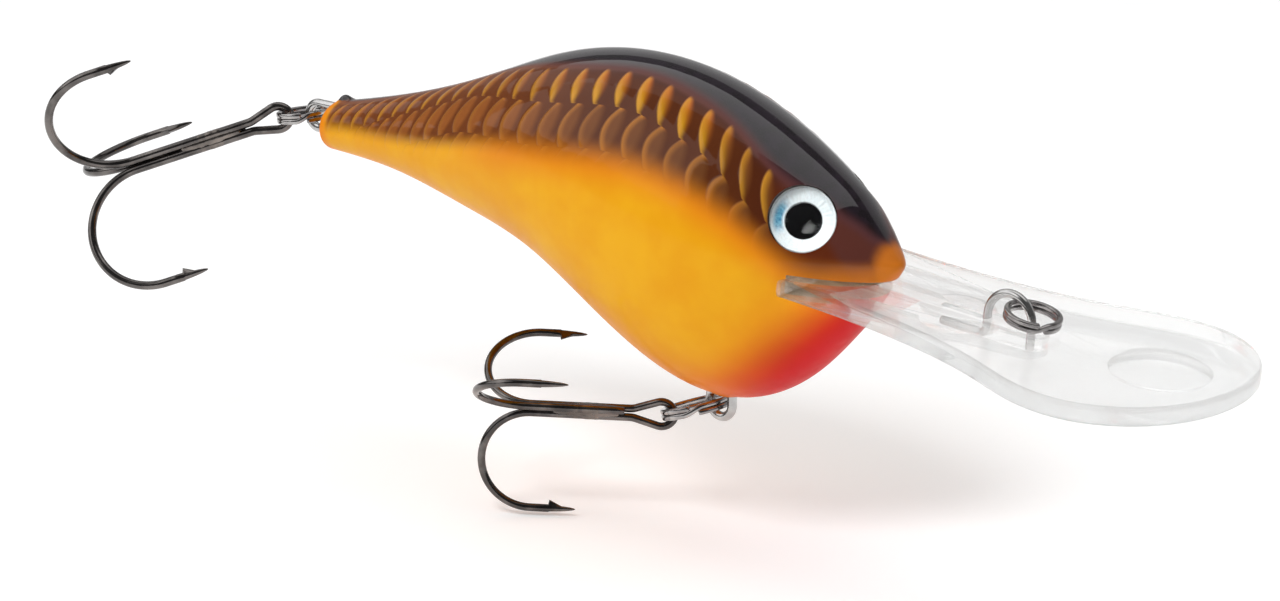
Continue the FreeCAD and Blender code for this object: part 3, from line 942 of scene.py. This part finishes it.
def body_paint():
    """Airbrushed paint over foil scales, under a thick clear coat; the scales' highlights, glints and the
    shade between them are painted into the colour.
    """
    s = Shader("body_paint")
    depth, place, squared_place, row, chance = scale_pattern(s)
    field, back, flank, head, nose = map(s.attribute, ("scale_field", "back", "flank", "head", "nose"))
    ruddy, amber, throat = map(s.attribute, ("ruddy", "amber", "throat"))
    front, gold_share = map(s.attribute, ("front", "gold"))
    mist = s.noise(900, 3.0)
    cloud = s.noise(160, 3.0)
    # belly: golden, warmer towards the keel and the tail, red at the throat
    belly = s.mix(s.remap(cloud, 0.3, 0.7), tone(236, 172, 22), tone(230, 158, 14))
    belly = s.mix(s.times(ruddy, 0.8), belly, tone(228, 112, 14))
    belly = s.mix(s.times(amber, 0.75), belly, tone(222, 118, 20))
    belly = s.mix(throat, belly, s.mix(s.remap(cloud, 0.3, 0.7), tone(206, 8, 14), tone(196, 4, 10)))
    # flank: brown glaze with lens-shaped foil scales, darkest above their tips; the leaves' highlights,
    # glints and the shade between them are painted into the colour
    glaze = s.mix(s.remap(cloud, 0.25, 0.75), tone(112, 56, 18), tone(134, 72, 24))
    glaze = s.mix(head, glaze, tone(92, 38, 14))
    glaze = s.mix(s.times(s.remap(row, 0.0, 0.4, 0.8, 0.0), front), glaze, tone(88, 48, 42))
    glaze = s.mix(nose, glaze, tone(200, 112, 34))
    first_row = s.remap(row, 0.9, 1.1, 1.0, 0.0)
    widest = s.remap(first_row, 0.0, 1.0, 0.98, 0.72)
    right_side = s.minus(widest, s.times(squared_place, 0.5))
    into_gap = s.minus(right_side, depth)
    leaf = s.times(s.remap(depth, 0.0, 0.12), s.remap(into_gap, 0.0, 0.34))
    # painted highlight: a bright rim along each leaf's free edge
    rim = s.times(leaf, s.remap(depth, 0.1, 0.42, 1.0, 0.0))
    # leaf colour: orange at the top of each leaf, yellow lower down, and darker towards its back as painted
    # shade
    gold = s.mix(s.remap(place, 0.5, -0.7), tone(206, 150, 20), tone(204, 104, 34))
    gold = s.mix(s.remap(depth, 0.2, 0.6), gold, tone(160, 84, 24))
    # painted reflection: the top row of leaves turns gold where the key light's reflection is painted in,
    # varied a little from leaf to leaf
    bright = s.times(first_row, gold_share, s.remap(chance, 0.0, 1.0, 0.7, 1.0, smooth=False))
    brown_leaf = s.mix(front, tone(148, 84, 34), tone(112, 66, 34))
    leaf_colour = s.mix(bright, brown_leaf, gold)
    painted_glint_colour = s.mix(first_row, tone(176, 112, 42), tone(204, 142, 44))
    # painted shade: the dark brown in the gaps between the leaves
    gap = s.mix(front, tone(104, 52, 18), tone(70, 30, 11))
    scales = s.mix(s.times(field, 0.8), glaze, gap)
    scales = s.mix(s.times(leaf, field), scales, leaf_colour)
    # painted glint along the leaves' free edges, brighter on the top row
    painted_glint = s.times(rim, field, s.remap(chance, 0.0, 1.0, 0.35, 0.9, smooth=False))
    scales = s.mix(painted_glint, scales, painted_glint_colour)
    colour = s.mix(flank, belly, scales)
    # back: near black with a violet cast that shows where it thins out
    dark = s.mix(s.remap(mist, 0.35, 0.65), tone(20, 12, 18), tone(30, 20, 30))
    violet = s.mix(s.remap(back, 0.15, 0.9), tone(82, 56, 66), dark)
    colour = s.mix(back, colour, violet)
    gloss = s.math("MAXIMUM", s.remap(flank, 0.0, 1.0, 0.1, 0.3), s.remap(back, 0.0, 1.0, 0.0, 1.0))
    normal = s.bump(s.times(leaf, s.minus(1.0, depth), field), 0.6, 0.0002)
    orange_peel = s.bump(s.noise(450, 1.0), 0.05, 0.0002)
    s.principled(Base_Color=colour, Metallic=s.times(leaf, field, 0.3), Specular_IOR_Level=0.08,
                 Roughness=s.remap(mist, 0.2, 0.8, 0.36, 0.48), Normal=normal, Coat_Weight=gloss,
                 Coat_Roughness=0.03, Coat_IOR=1.5, Coat_Normal=orange_peel)
    return s.material


def grained(name, light, dark, scale, detail, rough, bump, stretch=(1, 1, 1), spread=(0.2, 0.8), **finish):
    """One fine grain that varies the colour, the roughness and the surface."""
    s = Shader(name)
    grain = s.noise(scale, detail, stretch)
    s.principled(Base_Color=s.mix(s.remap(grain, 0.3, 0.7), tone(*light), tone(*dark)),
                 Roughness=s.remap(grain, *spread, *rough), Normal=s.bump(grain, *bump), **finish)
    return s.material


def sealed_wood(name, light, dark):
    """Sealed wood inside the mouth slot, or, on the eye sockets' walls, dark brown paint darkened as painted
    shade.
    """
    return grained(name, light, dark, 1400, 4.0, (0.3, 0.5), (0.2, 0.0001), (0.12, 1, 1),
                   Coat_Weight=0.6, Coat_Roughness=0.08)


def clear_plastic(name, tint, ior, rough, thin):
    """Clear moulded plastic that lets lamps light what lies behind it; thin is how much it fades."""
    s = Shader(name)
    flow = s.noise(220, 2.0, stretch=(0.5, 1, 1))
    scratches = s.noise(2600, 3.0, stretch=(0.06, 1, 1), turn=(0, 0, 0.4))
    glass = s.node("ShaderNodeBsdfPrincipled", Base_Color=tint, IOR=ior, Transmission_Weight=1.0,
                   Roughness=s.remap(scratches, 0.45, 0.8, rough, rough + 0.05),
                   Normal=s.bump(flow, 0.03, 0.0004))
    clear = s.node("ShaderNodeBsdfTransparent", Color=tint)
    light = s.node("ShaderNodeLightPath")
    both = s.node("ShaderNodeMixShader")
    s.feed(both.inputs[0], s.math("MAXIMUM", light.outputs["Is Shadow Ray"], thin))
    s.feed(both.inputs[1], glass.outputs[0])
    s.feed(both.inputs[2], clear.outputs[0])
    s.feed(s.output.inputs[0], both.outputs[0])
    return s.material


def plated_wire(name, base, worn, rough, grain=2400.0):
    """Plated or bright wire with drawing marks and a slightly uneven polish."""
    s = Shader(name)
    drawn = s.noise(grain, 3.0, stretch=(0.2, 1, 1))
    patches = s.noise(420, 3.0)
    colour = s.mix(s.remap(patches, 0.35, 0.7), tone(*base), tone(*worn))
    s.principled(Base_Color=colour, Metallic=1.0,
                 Roughness=s.remap(drawn, 0.25, 0.75, rough, rough + 0.12),
                 Normal=s.bump(drawn, 0.12, 0.00004))
    return s.material


def foil():
    """Silver eye foil with a cool blue sheen towards the tail side."""
    s = Shader("eye_foil")
    sheen = s.attribute("eye_blue")
    speck = s.noise(5200, 2.0)
    silver = s.mix(s.remap(speck, 0.3, 0.7), tone(240, 245, 245), tone(226, 234, 236))
    colour = s.mix(sheen, silver, s.mix(s.remap(speck, 0.35, 0.6), tone(44, 118, 156), tone(84, 160, 188)))
    s.principled(Base_Color=colour, Metallic=0.1, Roughness=s.remap(speck, 0.3, 0.7, 0.22, 0.36),
                 Normal=s.bump(speck, 0.15, 0.00004))
    return s.material


def studio_floor():
    s = Shader("studio_floor")
    grain = s.noise(60, 2.0)
    s.principled(Base_Color=s.mix(s.remap(grain, 0.3, 0.7), (0.94, 0.94, 0.94, 1), (0.955, 0.955, 0.955, 1)),
                 Roughness=0.9, Specular_IOR_Level=0.1, Emission_Color=(1, 1, 1, 1), Emission_Strength=0.16)
    return s.material


MATERIALS = {
    "body_paint": body_paint(),
    "slot_lacquer": sealed_wood("slot_lacquer", (206, 184, 148), (164, 130, 96)),
    # painted shade: the eye sockets' walls are dark brown to stand for the shade round each eye
    "socket_painted_shade": sealed_wood("socket_painted_shade", (70, 34, 16), (46, 22, 14)),
    "lip": clear_plastic("lip_polycarbonate", (0.992, 0.998, 0.997, 1), 1.5, 0.0, 0.5),
    "lens": clear_plastic("eye_lens", (0.99, 0.995, 0.995, 1), 1.42, 0.0, 0.25),
    "wire": plated_wire("stainless_wire", (176, 175, 174), (204, 203, 202), 0.12),
    "ring": plated_wire("split_ring_nickel", (138, 134, 134), (186, 183, 181), 0.08),
    "hook": plated_wire("hook_black_nickel", (82, 79, 78), (124, 119, 116), 0.12),
    "braze": plated_wire("hook_braze", (92, 87, 84), (140, 132, 126), 0.16, 1200.0),
    "foil": foil(),
    "pupil": grained("eye_pupil", (1, 1, 2), (5, 5, 6), 3000, 2.0, (0.3, 0.42), (0.05, 0.00003),
                     spread=(0.3, 0.7), Specular_IOR_Level=0.02),
    "lead": grained("ballast_lead", (92, 94, 98), (138, 140, 144), 1300, 5.0, (0.45, 0.7), (0.4, 0.0001),
                    Metallic=0.9),
    "brass": grained("rattle_brass", (196, 150, 70), (222, 182, 98), 1800, 3.0, (0.2, 0.36),
                     (0.15, 0.00005), (1, 0.08, 1), Metallic=1.0),
    "cap": grained("rattle_cap_plastic", (224, 224, 216), (206, 206, 198), 2200, 2.0, (0.4, 0.55),
                   (0.1, 0.00005)),
    "ball": plated_wire("rattle_ball_steel", (186, 188, 192), (210, 212, 214), 0.1, 3000.0),
}

# ---- pieces ----

SHARP_SKIN_ANGLE = math.radians(38)
SHARP_LIP_ANGLE = math.radians(30)


def add_piece(name, shell, material, body, slot, *nodes):
    """A finished piece that rides on a body, takes one of the script's materials and stands for CAD nodes;
    slot is not used.
    """
    piece = make_object(name, make_mesh(name, *shell), MATERIALS[material])
    finish_piece(piece, body, nodes)
    return piece


def finish_piece(piece, body, nodes):
    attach(piece, body)
    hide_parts(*nodes)


def carve(piece, cutter, operation="DIFFERENCE"):
    """Applies one exact boolean and removes the cutter; cut faces take the cutter's material."""
    boolean = piece.modifiers.new("carve", "BOOLEAN")
    boolean.operation = operation
    boolean.solver = "EXACT"
    boolean.material_mode = "TRANSFER"
    boolean.object = cutter
    evaluated = piece.evaluated_get(bpy.context.evaluated_depsgraph_get())
    mesh = bpy.data.meshes.new_from_object(evaluated)
    piece.modifiers.clear()
    old = piece.data
    piece.data = mesh
    bpy.data.meshes.remove(old)
    cut_mesh = cutter.data
    bpy.data.objects.remove(cutter)
    bpy.data.meshes.remove(cut_mesh)


def stations_of(mesh):
    """The mesh's vertices in stations."""
    places = np.zeros(3 * len(mesh.vertices))
    mesh.vertices.foreach_get("co", places)
    return places.reshape(-1, 3) / MM + ORIGIN


def add_attributes(mesh, **shares):
    for name, values in shares.items():
        made = mesh.attributes.new(name, "FLOAT", "POINT")
        made.data.foreach_set("value", np.asarray(values, np.float32))


def paint_body(mesh):
    """Airbrush shares, scale coordinates and the share of painted highlight on the scales at each vertex,
    for the paint to read.
    """
    points = stations_of(mesh)
    x, z = points[:, 0], points[:, 2]
    girth, share = girth_at(points)
    column, row = scale_coordinates(x, girth)
    # share of the painted gold highlight on the top row of scales: weak at the tail, strongest in the middle
    # of the body, fading before the head
    gold = (0.25 + 0.75 * smooth_step(26, 46, x)) * (1 - 0.8 * smooth_step(50, 56, x))
    add_attributes(mesh, scale_column=column, scale_row=row, scale_field=scale_field(x, girth),
                   front=smooth_step(22, 42, x), gold=gold, head=smooth_step(55, 60, x))
    # back and flank, with edges that are sharper towards the tail
    soft = 0.5 + 0.5 * smooth_step(20, 36, x)
    back = (1 - smooth_step(-1.5, 0.9, (girth - back_end(x)) / soft)) * smooth_step(1.4, 2.2, x)
    bead = (np.hypot(x - BEAD_X, points[:, 1]) < BEAD_PAINT_RADIUS) * (z > 0)
    past_flank = girth - flank_end(x)
    flank = (1 - smooth_step(-1.7, 2.0, past_flank / soft)) * smooth_step(0.9, 1.5, x)
    amber = (1 - smooth_step(0.4, 4.5, past_flank)) * smooth_step(18, 32, x)
    add_attributes(mesh, back=np.maximum(back, bead), flank=flank, amber=amber)
    # belly: chin is the distance past a slanting line under the gill
    keel = smooth_step(0.66, 0.95, share)
    tail = 1 - smooth_step(0.4, 2.0, x)
    chin = ((x - 64.3) * 0.975 - (z + 4.3)) / 1.397
    ruddy = np.clip(keel + 0.8 * tail + 0.5 * smooth_step(-5, 1, chin), 0, 1)
    throat = smooth_step(-2.0, 3.3, chin) * smooth_step(40, 52, x) * (z < -3.5)
    lower_edge = 0.5 * smooth_step(64, 67.5, x) * smooth_step(-0.4, -2.0, z)
    nose = np.maximum(smooth_step(67.9, 69.0, x), lower_edge)
    add_attributes(mesh, ruddy=ruddy, throat=throat, nose=nose)


def build_body():
    skin = make_object("body_skin", make_mesh("body_skin", *make_skin_shell()),
                       MATERIALS["body_paint"], MATERIALS["slot_lacquer"], MATERIALS["socket_painted_shade"])
    carve(skin, make_slot_cutter())
    for mirror in SIDES.values():
        carve(skin, make_socket_cutter(mirror))
    skin.data.set_sharp_from_angle(angle=SHARP_SKIN_ANGLE)
    paint_body(skin.data)
    finish_piece(skin, "lure", ["body_left_half", "body_right_half"])


def make_slot_cutter():
    """The mouth slot that the lip sits in."""
    along = np.array([SLOT_START, SLOT_END, SLOT_END, SLOT_START])
    across = np.array([-1, -1, 1, 1]) * SLOT_HALF_WIDTH
    rings = [on_lip(along, across, up) for up in (SLOT_GAP, -LIP_THICKNESS - SLOT_GAP)]
    return make_object("slot_cutter", make_mesh("slot_cutter", *capped_rings(np.array(rings))),
                       MATERIALS["slot_lacquer"])


def make_socket_cutter(mirror):
    socket = [(EYE_RADIUS + 0.1, -EYE_SOCKET_DEPTH - 0.05), (EYE_RADIUS + 0.1, 5.0)]
    mesh = make_mesh("socket_cutter", *turned_shell(mirror, socket))
    return make_object("socket_cutter", mesh, MATERIALS["socket_painted_shade"])


def build_lip():
    lip = make_object("lip_moulding", make_mesh("lip_moulding", *make_blade()), MATERIALS["lip"])
    for name, shell in (("rib", make_rib()), ("boss", make_boss())):
        part = make_object(name, make_mesh(name, *shell), MATERIALS["lip"])
        carve(lip, part, "UNION")
    lip.data.set_sharp_from_angle(angle=SHARP_LIP_ANGLE)
    finish_piece(lip, "lure", ["diving_lip"])


def build_eyes():
    for side, mirror in SIDES.items():
        iris = add_piece(side + "_iris_foil", turned_shell(mirror, iris_profile(), foil_ripple), "foil",
                         "lure", "eye_foil", side + "_eye_iris")
        centre, _, forwards, upwards = eye_axes(mirror)
        spots = stations_of(iris.data) - centre
        lie = np.arctan2(spots @ upwards, spots @ forwards)
        off = np.angle(np.exp(1j * (lie - EYE_SHEEN_AT)))
        across = np.hypot(spots @ upwards, spots @ forwards)
        band = smooth_step(*EYE_SHEEN_INNER, across) * (1 - smooth_step(*EYE_SHEEN_OUTER, across))
        blue = np.exp(-(off / EYE_SHEEN_SPREAD) ** 4) * band
        add_attributes(iris.data, eye_blue=blue * 0.95 + 0.05)
        add_piece(side + "_pupil_disc", turned_shell(mirror, pupil_profile()), "pupil",
                  "lure", "eye_pupil", side + "_eye_pupil")
        add_piece(side + "_lens_dome", turned_shell(mirror, lens_profile()), "lens",
                  "lure", "eye_lens", side + "_eye_lens")


def build_wires():
    add_piece("line_tie_arch", wire_shell(line_tie_route(), TIE_WIRE), "wire",
              "lure", "stainless_wire", "line_tie_wire")
    add_piece("harness_wire", wire_shell(through_wire_route(), HARNESS_WIRE), "wire",
              "lure", "stainless_wire", "through_wire")


def build_rings():
    for name, size in RINGS.items():
        add_piece(name + "_coil", make_ring_shell(name), "ring", size["body"], "split_ring_nickel", name)


def build_trebles():
    for name in TREBLES:
        double, single, braze = make_treble_shells(name)
        body = name + "_treble"
        rows = [("_double_hook_wire", double, "hook", "_double_hook"),
                ("_third_hook_wire", single, "hook", "_third_hook"),
                ("_braze_fillet", braze, "braze", "_hook_braze")]
        for ending, shell, finish, node in rows:
            add_piece(name + ending, shell, finish, body, "hook_black_nickel", name + node)


def dress_hidden_nodes():
    """CAD nodes kept as they are, inside the body, get their own finish."""
    finishes = {"ballast_weight": "lead", "rattle_tube": "brass", "rattle_cap_left": "cap",
                "rattle_cap_right": "cap", "rattle_balls": "ball"}
    for node, finish in finishes.items():
        mesh = frame["nodes"][node].data
        mesh.materials.clear()
        mesh.materials.append(MATERIALS[finish])


# ---- studio ----

CAMERA_AZIMUTH = math.radians(39.79)
CAMERA_ELEVATION = math.radians(16.57)
CAMERA_ROLL = math.radians(0.24)
CAMERA_DISTANCE = 450.0
CAMERA_TARGET = np.array([39.23, 0, -10.51])
CAMERA_LENS = 133.9
FLOOR_GAP = 0.0004
FLOOR_REACH = 3.0
FLOOR_LINES = 13

# Each lamp's place from the lure's middle, its width and height, all in metres, and its watts. The
# first two are square to the fish: the back reflects the card low down, then a dark gap, then the
# overhead box. The rest stand by the camera's right, towards the camera and up, and face the lure.
OVERHEAD_BOX = ((-0.55, 0.21, 0.78), 2.0, 0.68, 4.6)
BACKDROP_CARD = ((-0.4, 0.5, 0.21), 1.8, 0.42, 0.85)
FILL_BOX = ((-0.95, 0.1, 0.7), 1.2, 1.0, 5.4)
FRONT_BOX = ((0.8, 0.9, 0.6), 1.0, 0.8, 3.2)
KEY_BOX = ((-0.32, 0.5, 0.72), 0.3, 0.3, 3.6)
WORLD_LIGHT = 0.1


def build_camera():
    data = bpy.data.cameras.new("camera")
    data.lens = CAMERA_LENS
    data.clip_start = 0.01
    data.clip_end = 10
    camera = bpy.data.objects.new("camera", data)
    bpy.context.scene.collection.objects.link(camera)
    turned = Matrix.Rotation(CAMERA_AZIMUTH, 4, "Z")
    turned @= Matrix.Rotation(math.pi / 2 - CAMERA_ELEVATION, 4, "X") @ Matrix.Rotation(CAMERA_ROLL, 4, "Z")
    back = turned.to_3x3() @ Vector((0, 0, CAMERA_DISTANCE * MM))
    camera.matrix_world = Matrix.Translation(camera_side(0, 0, 0) + back) @ turned
    bpy.context.scene.camera = camera


def build_floor(level):
    """A wide pale floor, square to the camera."""
    edges = np.linspace(-FLOOR_REACH, FLOOR_REACH, FLOOR_LINES)
    points = [(side, away, level) for away in edges for side in edges]
    mesh = bpy.data.meshes.new("studio_floor")
    mesh.from_pydata(points, [], grid_faces(FLOOR_LINES, FLOOR_LINES, closed=False))
    mesh.shade_smooth()
    floor = make_object("studio_floor", mesh, studio_floor())
    floor.matrix_world = Matrix.Rotation(CAMERA_AZIMUTH, 4, "Z")
    floor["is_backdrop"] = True


def camera_side(right, towards, up):
    """A place given to the camera's right, towards the camera and up from the lure's middle."""
    offset = Matrix.Rotation(CAMERA_AZIMUTH, 3, "Z") @ Vector((right, -towards, up))
    return Vector((CAMERA_TARGET - ORIGIN) * MM) + offset


def add_softbox(name, place, target, width, height, power):
    data = bpy.data.lights.new(name, "AREA")
    data.shape = "RECTANGLE"
    data.size = width
    data.size_y = height
    data.energy = power
    lamp = bpy.data.objects.new(name, data)
    bpy.context.scene.collection.objects.link(lamp)
    lamp.location = place
    lamp.rotation_mode = "QUATERNION"
    lamp.rotation_quaternion = (place - target).to_track_quat("Z", "Y")
    return lamp


def build_lights():
    """Two boxes that the glossy back reflects, a fill, and two boxes that no reflection shows."""
    middle = camera_side(0, 0, 0)
    for name, (place, *size), facing in (("overhead_box", OVERHEAD_BOX, (0, 0, -1)),
                                         ("backdrop_card", BACKDROP_CARD, (0, -1, 0))):
        spot = middle + Vector(place)
        add_softbox(name, spot, spot + Vector(facing), *size)
    for name, (place, *size), glossy in (("fill_box", FILL_BOX, True), ("front_box", FRONT_BOX, False),
                                         ("key_box", KEY_BOX, False)):
        lamp = add_softbox(name, camera_side(*place), middle, *size)
        lamp.visible_glossy = glossy
    world = bpy.data.worlds.new("studio")
    world.use_nodes = True
    sky = world.node_tree.nodes["Background"].inputs
    sky["Color"].default_value = (1, 1, 1, 1)
    sky["Strength"].default_value = WORLD_LIGHT
    bpy.context.scene.world = world


# ---- assembly ----

build_body()
build_lip()
build_eyes()
build_wires()
build_rings()
build_trebles()
dress_hidden_nodes()
build_camera()
build_floor(min(cad_low.z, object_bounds()[0].z) - FLOOR_GAP)
build_lights()
bpy.context.scene.view_settings.view_transform = "Standard"
